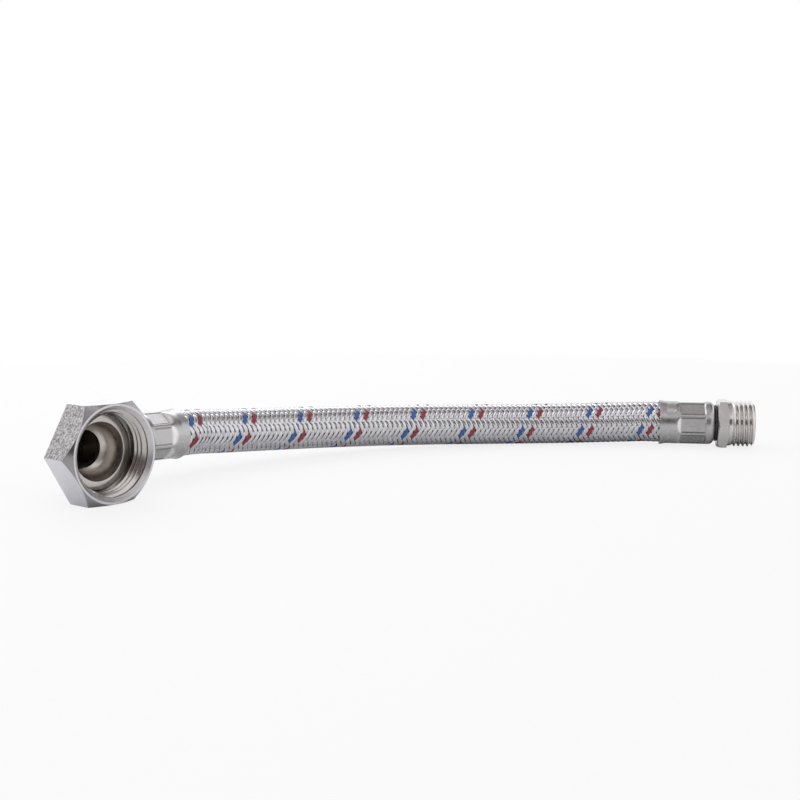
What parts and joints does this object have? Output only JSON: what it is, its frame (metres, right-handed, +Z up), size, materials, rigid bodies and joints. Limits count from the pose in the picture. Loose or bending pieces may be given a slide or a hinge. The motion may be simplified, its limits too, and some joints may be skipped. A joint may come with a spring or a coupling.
{
  "type": "flexible hose",
  "caption": "Short braided steel flexible water hose with a swivel union nut on a right-angle elbow at one end and a male threaded hexagon fitting at the other",
  "frame": {"origin": "on the floor, below the middle of the box of the fittings (the free hose is left out of that box)", "axes": "+X is the way the hose leaves the elbow and the long way of the part, +Y is opposite to the way the union nut opens, +Z is up from the surface it lies on"},
  "size_m": [0.311, 0.1782, 0.038],
  "materials": {
    "nickel": "nickel-plated brass, smooth and bright",
    "steel": "crimped stainless steel, satin",
    "braided_steel": "woven stainless wire with one blue and one red tracer strand",
    "liner_rubber": "black rubber tube under the braid",
    "seal_rubber": "black rubber ring, matt"
  },
  "bodies": {
    "hose_assembly": {"elbow_fitting": "nickel", "elbow_ferrule": "steel", "hose_liner": "liner_rubber", "hose_braid": "braided_steel", "male_ferrule": "steel", "seal_ring": "seal_rubber", "male_fitting": "nickel"},
    "nut": {"union_nut": "nickel"}
  },
  "joints": [
    {"name": "nut_spin", "type": "hinge", "parent": "hose_assembly", "child": "nut", "pos_m": [-0.1336, 0.05568, 0.019], "axis": [0, -1, 0], "continuous": true}
  ]
}
